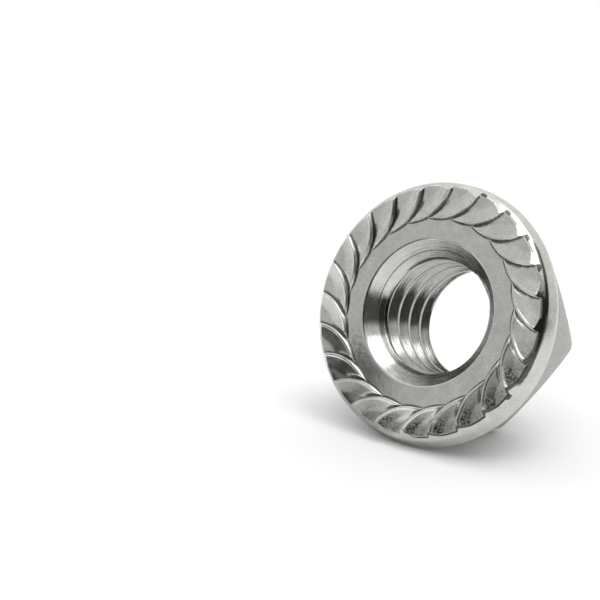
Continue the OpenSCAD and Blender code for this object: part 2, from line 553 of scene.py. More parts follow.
inner_wall = wall[: BACK_COLUMNS + 1]
wall_grime = foot_grime[BACK_COLUMNS:].copy()
wall_grime[-3:-1] = CORNER_SHADE_AND_GRIME
same_all_along = np.ones((BACK_COLUMNS + 1, 1))
wall_wear_and_highlight = same_all_along * crest_wear_and_highlight[BACK_COLUMNS:]
skin.grid(inner_wall, grime=same_all_along * wall_grime, worn=wall_wear_and_highlight)

foot_r, foot_angle = radius_angle(inner_wall[:, -1])
even = np.round(foot_angle[0] / BORE_STEP) * BORE_STEP + np.arange(BACK_COLUMNS + 1) * BORE_STEP / 2
ring = []
for t in RING_SHARES:
    r = foot_r + (BORE_EDGE_R - foot_r) * t
    a = foot_angle + (even - foot_angle) * smooth(t, 0, RING_SHARES[-1])
    ring.append(polar(r, a, LAND))
ring = np.array(ring)
skin.grid(ring, grime=in_rows(ring, 0, RING_SHADE_AND_GRIME))
skin.fan(ring[-1], polar(BORE_EDGE_R, even[::2], LAND))
tooth = skin.make("tooth_sector")

# %% [markdown]
# Behind the teeth the nut is a turned flange that runs up into a forged hexagon. The section is
# one line of (radius, height): the rim's band, its rounding, the slope, a hollow rounding at the
# hexagon's foot, the flat, and the arc of the dome. Only where it meets the hexagon does it change
# round the nut, so each column of the wedge, from the middle of one flat to the middle of the
# next, has its own section with the corner in the middle.

# %% Sizes and outline of the hexagon
FLAT_R = 7.125
CORNER_R = 0.8
CROWN_R = 4.9
DOME_R = 5.6
SIDES = 6
SIDE_COLUMNS = 96
CORNER_COLUMNS = 28
FLAT_CROWDING = 1.15  # columns on a flat get closer towards the corner
HALF_SIDE = 180 / SIDES  # degrees from the middle of a flat to its corner


def hexagon_outline():
    """Radius and angle of the outline's points from the middle of one flat to the next."""
    turn = math.radians(HALF_SIDE)
    corner = (FLAT_R - CORNER_R) / math.cos(turn)
    arc = np.linspace(-turn, turn, CORNER_COLUMNS + 1)
    arc = np.stack([corner + CORNER_R * np.cos(arc), CORNER_R * np.sin(arc)], -1)
    flat_columns = (SIDE_COLUMNS - CORNER_COLUMNS) // 2
    middle = FLAT_R * np.array([math.cos(turn), -math.sin(turn)])
    t = np.linspace(0, 1, flat_columns + 1)[:-1, None]
    flat = middle + (arc[0] - middle) * (1 - (1 - t) ** FLAT_CROWDING)
    mirrored = flat[::-1] * np.array([1, -1])
    return radius_angle(np.concatenate([flat, arc, mirrored]))


def dome_height(r):
    return NUT_H - DOME_R + np.sqrt(DOME_R ** 2 - (r - CROWN_R) ** 2)


outline_r, outline_angle = hexagon_outline()
print("across the corners, mm:", round(2 * outline_r.max(), 2))

# %% [markdown]
# Every column gets the same number of points, also where its slope is longer or its flat shorter,
# because only then do the sections join up to a grid. Extra points stand where a long straight
# stretch would leave long thin faces. The columns start evenly spaced at the rim, crowd together
# at the hexagon's corner, and are even again on the crown.

# %% One sixth of the hexagon and the flange
RIM_HIGH = 1.45
RIM_ROUND = 0.5
FLANGE_SLOPE = math.tan(math.radians(25))
FOOT_ROUND_FLAT, FOOT_ROUND_CORNER = 0.8, 0.45
TOP_ROUND = 0.12
SECTION_STEPS = (6, 7, 4)  # points in the rim's, the foot's and the top's rounding
SLOPE_SHARES = (0.3, 0.65)
FLAT_SHARES = (0.25, 0.5, 0.75)
DOME_SHARES = (0.85, 0.7, 0.55, 0.4, 0.25, 0.1, 0)
DOME_STEP = 0.3
MOUTH_EDGE = 0.2  # the crown ends this far outside the mouth's chamfer
MOUTH_LIP = 0.08


def side_section(r, cornerness):
    """One section of the nut's back, through a point of the hexagon's outline."""
    turned = math.radians(90) - math.atan(FLANGE_SLOPE)
    slope_r = RIM_R - RIM_ROUND * (1 - math.cos(turned))
    slope_z = RIM_HIGH + RIM_ROUND * math.sin(turned)
    meet_z = slope_z - (RIM_R - slope_r) * FLANGE_SLOPE
    foot_round = FOOT_ROUND_FLAT + (FOOT_ROUND_CORNER - FOOT_ROUND_FLAT) * cornerness
    corners = [
        (RIM_R, RIM_JOIN_Z),
        (RIM_R, meet_z),
        (r, meet_z + (RIM_R - r) * FLANGE_SLOPE),
        (r, dome_height(r)),
        (r - DOME_STEP, dome_height(r - DOME_STEP)),
    ]
    line = rounded(corners, (RIM_ROUND, foot_round, TOP_ROUND), SECTION_STEPS)
    rim, foot, top = np.cumsum(np.array(SECTION_STEPS) + 1)
    slope = [line[rim] + (line[rim + 1] - line[rim]) * t for t in SLOPE_SHARES]
    flat = [line[foot] + (line[foot + 1] - line[foot]) * t for t in FLAT_SHARES]
    swing = math.asin((line[top][0] - CROWN_R) / DOME_R)
    turns = [swing * t for t in DOME_SHARES]
    dome = [(CROWN_R + DOME_R * math.sin(a), NUT_H - DOME_R * (1 - math.cos(a))) for a in turns]
    crown = [(MOUTH_R + MOUTH_EDGE, NUT_H)]
    low = [line[: rim + 1], slope, line[rim + 1 : foot + 1]]
    high = [flat, line[foot + 1 : top + 1], dome, crown]
    return np.concatenate(low + high)


cornerness = (outline_r - FLAT_R) / (outline_r.max() - FLAT_R)
table = np.array([side_section(r, c) for r, c in zip(outline_r, cornerness)]).transpose(1, 0, 2)
even = np.linspace(-HALF_SIDE, HALF_SIDE, SIDE_COLUMNS + 1)
number = np.arange(len(table))
slope_end = SECTION_STEPS[0] + 1 + len(SLOPE_SHARES)
dome_start = len(table) - 1 - len(DOME_SHARES)
crowding = smooth(number, 0, slope_end) * (1 - smooth(number, dome_start, len(table) - 2))
rows = []
for line, share in zip(table, crowding):
    rows.append(polar(line[:, 0], even + (outline_angle - even) * share, line[:, 1]))
skin = Skin()
skin.grid(np.array(rows))
skin.fan(rows[-1], polar(MOUTH_R + MOUTH_LIP, even[::3], NUT_H))
side = skin.make("side_sector")

# %% [markdown]
# The thread is 3/8-16: sixteen turns to the inch, flanks at 60 degrees, right-handed. Its section
# repeats every pitch, and round the nut it slides along the bore by one pitch a turn. So the rows
# of this grid are helices: each runs along a crest, a flank or a root, and the edges stay crisp.
# Where the countersink or the mouth's chamfer is wider than the thread, it cuts the thread away,
# which is simply the greater of the two radii. Rows that would leave the bore are held at its end.

# %% The thread's section
PITCH = 25.4 / 16
MAJOR_R = 9.525 / 2
CREST_WIDTH = 0.32
CREST_ROUND, ROOT_ROUND = 0.06, 0.2
CREST_STEPS, ROOT_STEPS = 2, 3
FLANK_ANGLE = 30  # degrees, half the angle between two flanks
flank = (MAJOR_R - BORE_R) * math.tan(math.radians(FLANK_ANGLE))
crest_half = CREST_WIDTH / 2
THREAD_LINE = rounded(
    [
        (0, BORE_R),
        (crest_half, BORE_R),
        (crest_half + flank, MAJOR_R),
        (PITCH - crest_half - flank, MAJOR_R),
        (PITCH - crest_half, BORE_R),
        (PITCH, BORE_R),
    ],
    (CREST_ROUND, ROOT_ROUND, ROOT_ROUND, CREST_ROUND),
    (CREST_STEPS, ROOT_STEPS, ROOT_STEPS, CREST_STEPS),
)
first_flank = CREST_STEPS + 1
second_flank = first_flank + 2 * (ROOT_STEPS + 1)
flank_middles = [(THREAD_LINE[i, 0] + THREAD_LINE[i + 1, 0]) / 2 for i in (first_flank, second_flank)]
THREAD_ROWS = np.sort([*THREAD_LINE[:-1, 0], *flank_middles])
print("rows in one turn of the thread:", len(THREAD_ROWS))

# %% The threaded bore with its countersink
FIRST_CREST = 1.82  # height of the first full crest at the angle below
CREST_ANGLE = 180
START_FADE = (290, 345)  # the first groove runs out between these angles
SINK_ROUND, SINK_STEPS = 0.25, 4
MOUTH_ROUND, MOUTH_STEPS = 0.05, 3
HELD_BACK = 0.01  # rows that leave the bore are held this far inside its ends
TURNS_BEFORE = 2
mouth_slope = (MOUTH_R - BORE_R) / MOUTH_DEPTH


def thread_radius(z, angle):
    turns = (z - FIRST_CREST) / PITCH - (angle - CREST_ANGLE) / 360
    radius = np.interp(turns % 1 * PITCH, THREAD_LINE[:, 0], THREAD_LINE[:, 1])
    open_share = smooth(angle, *START_FADE)
    return np.where(turns < 0, BORE_R + (radius - BORE_R) * open_share, radius)


sink_line = [(BORE_EDGE_R, LAND), (SINK_R, LAND), (SINK_R - SINK_SLOPE, LAND + 1)]
sink_line = rounded(sink_line, [SINK_ROUND], [SINK_STEPS])
mouth_line = [(MOUTH_R - mouth_slope, NUT_H - 1), (MOUTH_R, NUT_H), (MOUTH_R + MOUTH_LIP, NUT_H)]
mouth_line = rounded(mouth_line, [MOUTH_ROUND], [MOUTH_STEPS])
lowest = sink_line[-2][1] + HELD_BACK
highest = mouth_line[1][1] - HELD_BACK
angle = np.arange(BORE_COLUMNS + 1) * BORE_STEP
rows = [polar(r, angle, z) for r, z in sink_line[:-1]]
for turn in range(-TURNS_BEFORE, math.ceil(NUT_H / PITCH) + 1):
    for step in THREAD_ROWS:
        z = FIRST_CREST + step + PITCH * (turn + (angle - CREST_ANGLE) / 360)
        z = np.clip(z, lowest, highest)
        cone = SINK_R - (z - LAND) * SINK_SLOPE
        chamfer = MOUTH_R - (NUT_H - z) * mouth_slope
        r = np.maximum(np.maximum(cone, chamfer), thread_radius(z, angle))
        rows.append(polar(r, angle, z))
rows += [polar(r, angle, z) for r, z in mouth_line[1:]]
skin = Skin()
skin.grid(np.array(rows))
thread = skin.make("bore")

# %% [markdown]
# The whole nut, its steel, the light and the paper are each made by a small tree of nodes. A few
# short words for the nodes that come up again and again keep the cells below readable: a sum, a
# ramp, a mix, a product of several masks, and the strongest of several masks.


# %% Helpers for node trees
class Graph:
    """Short words for the nodes of one tree."""

    def __init__(self, tree):
        self.tree = tree

    def node(self, kind, **settings):
        made = self.tree.nodes.new(kind)
        for name, value in settings.items():
            setattr(made, name, value)
        return made

    def put(self, value, socket):
        if isinstance(value, bpy.types.NodeSocket):
            self.tree.links.new(value, socket)
        else:
            socket.default_value = value

    def math(self, operation, a, b=0.0, c=0.0):
        made = self.node("ShaderNodeMath", operation=operation)
        for value, socket in zip((a, b, c), made.inputs):
            self.put(value, socket)
        return made.outputs[0]

    def times(self, first, *others):
        """The product of values and masks."""
        for other in others:
            first = self.math("MULTIPLY", first, other)
        return first

    def strongest(self, first, *others):
        """The greatest of several masks."""
        for other in others:
            first = self.math("MAXIMUM", first, other)
        return first

    def vector(self, operation, a, b=(0, 0, 0), out=0):
        made = self.node("ShaderNodeVectorMath", operation=operation)
        self.put(a, made.inputs[0])
        self.put(b, made.inputs[1])
        return made.outputs[out]

    def step(self, value, low, high, start=0.0, end=1.0, soft=True):
        """A ramp of a value between two limits."""
        kind = "SMOOTHSTEP" if soft else "LINEAR"
        made = self.node("ShaderNodeMapRange", interpolation_type=kind)
        for given, socket in zip((value, low, high, start, end), made.inputs):
            self.put(given, socket)
        return made.outputs[0]

    def mix(self, share, a, b):
        made = self.node("ShaderNodeMix", data_type="RGBA")
        self.put(share, made.inputs["Factor"])
        for value, socket in ((a, made.inputs[6]), (b, made.inputs[7])):
            self.put(value, socket)
        return made.outputs[2]


# %% [markdown]
# Twenty-four teeth and six sides are copies turned about one axis, which is what Geometry Nodes
# are good at: points at the axis, an instance on each and a turn that grows with the point's
# number. The tree takes the wedges and their counts as named inputs, adds the bore, makes the
# copies real and merges the borders, so the result is one closed skin.

# %% Geometry Nodes that build the whole nut from its wedges
INPUTS = (
    ("Tooth wedge", "NodeSocketObject"),
    ("Teeth", "NodeSocketInt"),
    ("Side wedge", "NodeSocketObject"),
    ("Sides", "NodeSocketInt"),
    ("Bore", "NodeSocketObject"),
    ("Merge distance", "NodeSocketFloat"),
    ("Material", "NodeSocketMaterial"),
)


def nut_tree():
    tree = bpy.data.node_groups.new("nut from wedges", "GeometryNodeTree")
    build = Graph(tree)
    sockets = {}
    for name, kind in INPUTS:
        made = tree.interface.new_socket(name=name, in_out="INPUT", socket_type=kind)
        sockets[name] = made.identifier
    tree.interface.new_socket(name="Geometry", in_out="OUTPUT", socket_type="NodeSocketGeometry")
    given = build.node("NodeGroupInput").outputs

    def shape_of(name):
        info = build.node("GeometryNodeObjectInfo")
        build.put(given[name], info.inputs["Object"])
        return info.outputs["Geometry"]

    def copies_round(wedge, count):
        points = build.node("GeometryNodePoints")
        build.put(given[count], points.inputs["Count"])
        number = build.node("GeometryNodeInputIndex").outputs[0]
        share = build.math("DIVIDE", 2 * math.pi, given[count])
        turn = build.node("ShaderNodeCombineXYZ")
        build.put(build.math("MULTIPLY", number, share), turn.inputs["Z"])
        rotation = build.node("FunctionNodeEulerToRotation")
        build.put(turn.outputs[0], rotation.inputs[0])
        copies = build.node("GeometryNodeInstanceOnPoints")
        build.put(points.outputs[0], copies.inputs["Points"])
        build.put(shape_of(wedge), copies.inputs["Instance"])
        build.put(rotation.outputs[0], copies.inputs["Rotation"])
        return copies.outputs[0]

    join = build.node("GeometryNodeJoinGeometry")
    build.put(copies_round("Tooth wedge", "Teeth"), join.inputs[0])
    build.put(copies_round("Side wedge", "Sides"), join.inputs[0])
    build.put(shape_of("Bore"), join.inputs[0])
    real = build.node("GeometryNodeRealizeInstances")
    merge = build.node("GeometryNodeMergeByDistance")
    shade = build.node("GeometryNodeSetShadeSmooth")
    paint = build.node("GeometryNodeSetMaterial")
    chain = (join, real, merge, shade, paint, build.node("NodeGroupOutput"))
    for before, after in zip(chain, chain[1:]):
        build.put(before.outputs[0], after.inputs[0])
    build.put(given["Merge distance"], merge.inputs["Distance"])
    build.put(given["Material"], paint.inputs["Material"])
    return tree, sockets


tree, sockets = nut_tree()
print("nodes in the tree:", len(tree.nodes))

# %% [markdown]
# The tree hangs on an empty mesh as a modifier. A modifier's input goes by the identifier of its
# socket. The result is copied out as a plain mesh, and the builder and the wedges are thrown away.

# %% Run the tree
MERGE_DISTANCE = 0.001
steel = bpy.data.materials.new("satin steel")
builder = bpy.data.objects.new("nut_builder", bpy.data.meshes.new("nut_builder"))
bpy.context.scene.collection.objects.link(builder)
nodes_modifier = builder.modifiers.new("nut", "NODES")
nodes_modifier.node_group = tree
values = (tooth, TEETH, side, SIDES, thread, MERGE_DISTANCE, steel)
for (name, _), value in zip(INPUTS, values):
    nodes_modifier[sockets[name]] = value
bpy.context.view_layer.update()
evaluated = builder.evaluated_get(bpy.context.evaluated_depsgraph_get())
nut_mesh = bpy.data.meshes.new_from_object(evaluated)
for wedge in (builder, tooth, side, thread):
    bpy.data.objects.remove(wedge)
print("points on the whole nut:", len(nut_mesh.vertices))

# %% [markdown]
# One thing on this nut isn't round. Its rim was trimmed a little off centre, so that on one side
# the teeth end nearer to the bore, and on the other side their ends reach further and lean on.
# That is a small shift of the points near the rim, which fades to nothing inwards and downwards.

# %% Trim the rim off centre
NARROW_AT = 35  # degrees, the side where the teeth end nearest to the bore
NARROW_BY = 0.17
WIDER_BY = 0.17
END_TURN = 1.2  # degrees that the outer ends of the teeth lean on, opposite that side
SHIFT_R = (7.6, 8.5)  # radii between which the shift sets in
LEAN_R = (7.0, 8.6)
DONE_DEPTH = (0.75, 1.2)  # depths between which both fade out

points = np.empty(len(nut_mesh.vertices) * 3)
nut_mesh.vertices.foreach_get("co", points)
points = points.reshape(-1, 3)
r, angle = radius_angle(points)
below = points[:, 2]
near = (1 + np.cos(np.radians(angle - NARROW_AT))) / 2
upper = 1 - smooth(below, *DONE_DEPTH)
shift = (WIDER_BY * (1 - near) ** 2 - NARROW_BY * near ** 2) * smooth(r, *SHIFT_R) * upper
lean = END_TURN * (1 - near) * smooth(r, *LEAN_R) * upper
points = polar(r + shift, angle + lean, below)
nut_mesh.vertices.foreach_set("co", points.reshape(-1))
print("most that a point moves, mm:", round(np.abs(shift).max(), 3))

# %% [markdown]
# So far the nut is plain geometry in its own millimetres. Now it is laid down in the frame, its
# faces are turned outwards, and the count of open edges says whether the skin is closed. It rides
# on the nut's one body and stands for the CAD node, which keeps its place for collision.

# %% Lay the nut down and check its skin
SAME_POINT = 0.0001 * MM
nut_mesh.transform(NUT)
work = bmesh.new()
work.from_mesh(nut_mesh)
bmesh.ops.dissolve_degenerate(work, edges=work.edges, dist=SAME_POINT)
bmesh.ops.recalc_face_normals(work, faces=work.faces)
open_edges = sum(1 for e in work.edges if len(e.link_faces) != 2)
volume = work.calc_volume(signed=True) / MM ** 3
work.to_mesh(nut_mesh)
work.free()
nut_mesh.name = "flange_nut_dressed"
nut = bpy.data.objects.new("flange_nut_dressed", nut_mesh)
bpy.context.scene.collection.objects.link(nut)
nut_mesh.calc_loop_triangles()
print("triangles:", len(nut_mesh.loop_triangles))
print("open edges:", open_edges, "volume, cubic mm:", round(volume, 1))

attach(nut, "root")
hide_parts("flange_nut")

# %% [markdown]
# The camera stands where the photograph was taken from: to the right of the nut and a little above
# it. It was found by fitting the nut's own circles to their ellipses in the picture.

# %% Camera
camera_at = Vector((42.209, -69.453, 31.256)) * MM
AZIMUTH, PITCH_DOWN, ROLL = (math.radians(a) for a in (39.02, 15.216, 1.044))
heading = Vector((-math.sin(AZIMUTH), math.cos(AZIMUTH), 0))
forward = heading * math.cos(PITCH_DOWN) - Vector((0, 0, math.sin(PITCH_DOWN)))
level_right = Vector((math.cos(AZIMUTH), math.sin(AZIMUTH), 0))
level_up = level_right.cross(forward)
right = level_right * math.cos(ROLL) + level_up * math.sin(ROLL)
up = level_up * math.cos(ROLL) - level_right * math.sin(ROLL)
camera_turn = Matrix((right, up, -forward)).transposed().to_4x4()
camera_data = bpy.data.cameras.new("camera")
camera_data.lens = 68.74
camera_data.sensor_width = 36
camera_data.clip_start = 0.001
camera = bpy.data.objects.new("camera", camera_data)
camera.matrix_world = Matrix.Translation(camera_at) @ camera_turn
bpy.context.scene.collection.objects.link(camera)
bpy.context.scene.camera = camera
print("camera to the middle of the face, mm:", round((camera_at - face_middle).length / MM, 1))

# %% [markdown]
# The steel is plain satin metal, but no part of it is quite even. All that varies on it reads the
# nut's own coordinates, which are worked out once from the Object coordinates: the distance from
# the bore's axis, the depth below the crests and the direction round the nut. Angles round the nut
# start at its side and run down the face. A place on it is (angle, end, full): a mask round that
# angle which is 0 from the second number of degrees on and 1 within the third.

# %% The nut's own coordinates, for the steel
steel.use_nodes = True
shader = steel.node_tree.nodes["Principled BSDF"]
metal = Graph(steel.node_tree)
place = metal.vector("SUBTRACT", metal.node("ShaderNodeTexCoord").outputs["Object"], face_middle)
own = metal.node("ShaderNodeCombineXYZ")
for direction, socket in zip((sideways, downward, inward), own.inputs):
    metal.put(metal.vector("DOT_PRODUCT", place, direction / MM, out=1), socket)
own = own.outputs[0]
flat_own = metal.vector("MULTIPLY", own, (1, 1, 0))
radius = metal.vector("LENGTH", flat_own, out=1)
round_way = metal.vector("NORMALIZE", flat_own)
depth = metal.vector("DOT_PRODUCT", own, (0, 0, 1), out=1)


def noise(scale, detail, roughness, vector=own):
    made = metal.node("ShaderNodeTexNoise")
    metal.put(vector, made.inputs["Vector"])
    for name, value in (("Scale", scale), ("Detail", detail), ("Roughness", roughness)):
        made.inputs[name].default_value = value
    return made.outputs[0]


def mark(name):
    return metal.node("ShaderNodeAttribute", attribute_name=name).outputs["Fac"]


def side_mask(angle, end, full):
    """1 near one angle round the nut, 0 away from it."""
    a = math.radians(angle)
    close = metal.vector("DOT_PRODUCT", round_way, (math.cos(a), math.sin(a), 0), out=1)
    return metal.step(close, math.cos(math.radians(end)), math.cos(math.radians(full)))


# %% [markdown]
# Forging leaves soft clouds and a fine grain. Cutting the countersink and the thread leaves ridges:
# noise that hardly changes round the nut but quickly along the section. So its coordinates are the
# radius and the depth, drawn out, with only a little of the direction round the nut.

# %% Clouds, grain and the ridges from cutting
RIDGES_PER_MM = 9.0
RIDGE_DRIFT = (0.6, 0.6, 0.6)
CUT_R = (5.45, 5.25)  # outside, inside the part that was cut
# Scale, detail and roughness of each noise; a scale of 1 gives clouds of about a millimetre.
CLOUDS = (1.1, 4.0, 0.65)
GRAIN = (9.0, 3.0, 0.7)
SPECKLE = (22.0, 2.0, 0.6)
RIDGES = (1.0, 3.0, 0.7)
RAGGED = 1.5

mottle = noise(*CLOUDS)
grain = noise(*GRAIN)
speckle = noise(*SPECKLE)
ragged = metal.math("MULTIPLY_ADD", grain, RAGGED, -RAGGED / 2)  # the grain about zero
section = metal.node("ShaderNodeCombineXYZ")
metal.put(metal.times(radius, RIDGES_PER_MM), section.inputs[0])
metal.put(metal.times(depth, RIDGES_PER_MM), section.inputs[1])
along = metal.vector("ADD", section.outputs[0], metal.vector("MULTIPLY", round_way, RIDGE_DRIFT))
ridges = noise(*RIDGES, along)
cut_zone = metal.step(radius, *CUT_R)

# %% [markdown]
# Painted shade, with some grime, is thick in the corners at the feet of the walls. At the scales'
# outer ends painted shade shows only on some sides: a line along the outline and dark notches
# between the crests. A painted dark reflection lies on the bevel as a band or a thin line. A hard
# step of mark plus grain gives all of it a ragged edge.

# %% Painted shade and grime in corners, notches and outlines, painted reflection on the bevel
# Sides where the painted shade of the outlines and the notches shows.
OUTLINE_AT = (48, 40, 27)
FAINT_OUTLINE_AT = (-15, 85, 60)
FAINT_OUTLINE = 0.4
NOTCH_AT = (-25, 70, 50)
NOTCH_SHADE_STRENGTH = 1.3
# Sides where the bevel shows a painted dark reflection, as a band and as a thin line.
RIM_BAND_AT = (2, 28, 13)
RIM_LINE_AT = (-26, 22, 10)
CORNER_RAGGED, END_RAGGED = 0.8, 0.45
CORNER_STEP = (0.35, 0.75)
END_STEP = (0.4, 0.65)
SHADE_AND_GRIME_DARKEN = 0.95

corner = metal.math("MULTIPLY_ADD", ragged, CORNER_RAGGED, mark("grime"))
outline = metal.math("MULTIPLY_ADD", side_mask(*FAINT_OUTLINE_AT), FAINT_OUTLINE, side_mask(*OUTLINE_AT))
ends = metal.strongest(
    metal.times(mark("outline"), outline),
    metal.times(mark("notch_shade"), side_mask(*NOTCH_AT), NOTCH_SHADE_STRENGTH),
    metal.times(mark("rim_dark_reflection"), side_mask(*RIM_BAND_AT)),
    metal.times(mark("rim_reflection_line"), side_mask(*RIM_LINE_AT)),
)
ends = metal.math("MULTIPLY_ADD", ragged, END_RAGGED, ends)
# Painted shade, with some grime, and painted dark reflection at the corners and the scales' ends.
grime = metal.strongest(metal.step(corner, *CORNER_STEP), metal.step(ends, *END_STEP))
shade_and_dirt = [metal.times(grime, SHADE_AND_GRIME_DARKEN)]

# %% [markdown]
# On the lower right the steep outer ends of the backs are pockets that no tool has smoothed: finely
# pitted and dark, their darkness partly the pits and partly painted shade. The same pits darken them
# here and roughen their relief further down.

# %% Pitted pockets with painted shade
POCKETS_AT = (60, 62, 40)
PITS = (6.0, 3.0, 0.75)
PITS_STEP = (0.62, 0.38, 0.55, 1.12)  # the noise falls from high to low, the shade goes weak to full

pocket = metal.times(mark("pocket"), side_mask(*POCKETS_AT))
pits = noise(*PITS)
# The pits and painted shade darken the pockets.
pitted_and_shaded = metal.times(pocket, metal.step(pits, *PITS_STEP))
shade_and_dirt.append(pitted_and_shaded)

# %% [markdown]
# Broad darker places: painted shade in the grooves of the thread, a darker tone all down the bore,
# a darker right wall of the countersink, a painted dark reflection on the scales at the lower left,
# and a cloudy painted dark reflection on the plain ring. Each is a mask of radius, depth and side
# with a strength of its own.

# %% Painted shade, a darker bore and painted dark reflections
# Limits of radius, limits of depth, side and strength of each; None is a limit that it lacks.
# Painted shade in the grooves, darker tones down the bore and on the countersink's right wall, and a
# painted dark reflection on the left scales.
DULL_PLACES = {
    "groove shade": ((4.2, 4.7), (1.75, 2.0), None, 0.42),
    "darker bore": ((4.85, 4.78), (1.85, 2.3), None, 0.34),
    "right wall": ((5.26, 5.18), None, (-2, 62, 40), 0.72),
    "left scales dark reflection": ((6.8, 7.4), None, (118, 27, 13), 0.42),
}
# A painted dark reflection, in clouds, on the plain ring at the lower left.
DARK_REFLECTION_R, DARK_REFLECTION_WIDTH, DARK_REFLECTION_AT, DARK_REFLECTION_SHADE = 6.05, (0.6, 0.25), (140, 22, 7), 0.5
DARK_REFLECTION_CLOUDS, DARK_REFLECTION_STEP = (2.2, 4.0, 0.7), (0.42, 0.6)


def place_mask(radii, depths=None, side=None):
    """A mask with soft limits of radius and depth, and on one side of the nut."""
    masks = [metal.step(radius, *radii)]
    if depths:
        masks.append(metal.step(depth, *depths))
    if side:
        masks.append(side_mask(*side))
    return metal.times(*masks)


dull = {name: place_mask(*limits) for name, (*limits, _) in DULL_PLACES.items()}
shade_and_dirt += [metal.times(mask, DULL_PLACES[name][-1]) for name, mask in dull.items()]
off_dark_reflection = metal.math("ABSOLUTE", metal.math("SUBTRACT", radius, DARK_REFLECTION_R))
clouds = metal.step(noise(*DARK_REFLECTION_CLOUDS), *DARK_REFLECTION_STEP)
ring_dark_reflection = metal.times(metal.step(off_dark_reflection, *DARK_REFLECTION_WIDTH), side_mask(*DARK_REFLECTION_AT), clouds)
shade_and_dirt.append(metal.times(ring_dark_reflection, DARK_REFLECTION_SHADE))
print("dull places:", sorted(dull))

# %% [markdown]
# Thin lines of painted shade run round the countersink: at its outer edge, part way down its cone
# and at its inner end, each at its own radius and clearest on one side. Where the countersink runs
# into the first turn of the thread, a broken dark band darkens it.

# %% Lines of painted shade round the countersink, and a dark band
# Radius, half width, greatest depth, side and strength of each line of painted shade.
SHADE_LINES = (
    (5.32, 0.05, 1.25, (205, 65, 40), 0.9),
    (4.6, 0.03, 1.25, (235, 75, 45), 1.0),
    (4.14, 0.07, 1.95, (155, 50, 30), 1.0),
)
LINE_EDGES = (1.6, 0.5)  # a line ends and is full at these shares of its half width
LINE_END = 0.05  # mm of depth over which a line ends
BAND, BAND_SHADE = ((4.62, 4.4), (1.66, 1.58), (135, 62, 35)), 0.75  # radius, depth and side
BAND_RAGGED, BAND_STEP = 0.9, (0.35, 0.7)


def shade_line(at, half, deepest):
    """A thin ragged line of painted shade round the bore at one radius."""
    off = metal.math("ABSOLUTE", metal.math("SUBTRACT", radius, at))
    off = metal.math("MULTIPLY_ADD", metal.math("SUBTRACT", grain, 0.5), 2 * half, off)
    line = metal.step(off, half * LINE_EDGES[0], half * LINE_EDGES[1])
    return metal.times(line, metal.step(depth, deepest + LINE_END, deepest - LINE_END))


for at, half, deepest, where, strength in SHADE_LINES:
    shade_and_dirt.append(metal.times(shade_line(at, half, deepest), side_mask(*where), strength))
band = metal.math("MULTIPLY_ADD", ragged, BAND_RAGGED, place_mask(*BAND))
band = metal.step(band, *BAND_STEP)
shade_and_dirt.append(metal.times(band, BAND_SHADE))
print("layers of dirt:", len(shade_and_dirt))

# %% [markdown]
# A metal's Base Color is the tint of what it mirrors. It is one grey, a little warm, which the
# clouds, the grain and a fine speckle change by a few hundredths, and which the strongest layer of
# painted shade and dirt darkens. The crests on the lower side are brighter, a painted highlight that
# is partly rubbed wear, and a little rust tints the darker bore on its left.

# %% Colour
STEEL = (0.63, 0.636, 0.597)
RUST = (0.30, 0.17, 0.09, 1)
CLOUD_TONES = (0.3, 0.7, 0.87, 1.08)
GRAIN_TONES = (0.25, 0.75, 0.88, 1.1)
SPECKLE_TONES = (0.3, 0.7, 0.95, 1.05)
# The strongest layer of painted shade and dirt darkens the steel by up to this share.
SHADE_AND_DIRT_DARKEN = 0.87
# A painted highlight, partly rubbed wear, on the crests of the lower side.
WORN_AND_HIGHLIT_AT, WEAR_AND_HIGHLIGHT_BRIGHTEN = (110, 80, 50), 0.3
RUST_AT, RUST_SHARE = (184, 16, 6), 0.45
RUST_CLOUDS, RUST_STEP = (2.6, 3.0, 0.6), (0.5, 0.62)

worn = metal.times(mark("worn"), side_mask(*WORN_AND_HIGHLIT_AT))
tone = metal.times(
    metal.step(mottle, *CLOUD_TONES, soft=False),
    metal.step(grain, *GRAIN_TONES, soft=False),
    metal.step(speckle, *SPECKLE_TONES, soft=False),
    metal.math("MULTIPLY_ADD", metal.strongest(*shade_and_dirt), -SHADE_AND_DIRT_DARKEN, 1.0),
    metal.math("MULTIPLY_ADD", worn, WEAR_AND_HIGHLIGHT_BRIGHTEN, 1.0),
)
toned = metal.node("ShaderNodeVectorMath", operation="SCALE")
metal.put(STEEL, toned.inputs[0])
metal.put(tone, toned.inputs["Scale"])
rust_clouds = metal.step(noise(*RUST_CLOUDS), *RUST_STEP)
rust = metal.times(dull["darker bore"], side_mask(*RUST_AT), rust_clouds, RUST_SHARE)
metal.put(metal.mix(rust, toned.outputs[0], RUST), shader.inputs["Base Color"])
shader.inputs["Metallic"].default_value = 1

# %% [markdown]
# Roughness says how blurred the mirrored studio is: satin on the forged face, duller in the
# pockets and brighter where the steel was cut. Relief too fine for the mesh is bump: the broad
# unevenness of the forged face, the grain, the ridges of the cut parts and the pits.

# %% Roughness and relief
SATIN = (0.3, 0.7, 0.17, 0.27)
POCKET_ROUGHER, CUT_BRIGHTER = 0.12, 0.12
FORGED_RELIEF, GRAIN_RELIEF, RIDGE_RELIEF, PIT_RELIEF = 0.5, 0.12, 0.7, 1.6
RELIEF_DEPTH = 0.03  # mm

rough = metal.step(mottle, *SATIN, soft=False)
rough = metal.math("MULTIPLY_ADD", pocket, POCKET_ROUGHER, rough)
rough = metal.math("MULTIPLY_ADD", cut_zone, -CUT_BRIGHTER, rough)
metal.put(rough, shader.inputs["Roughness"])

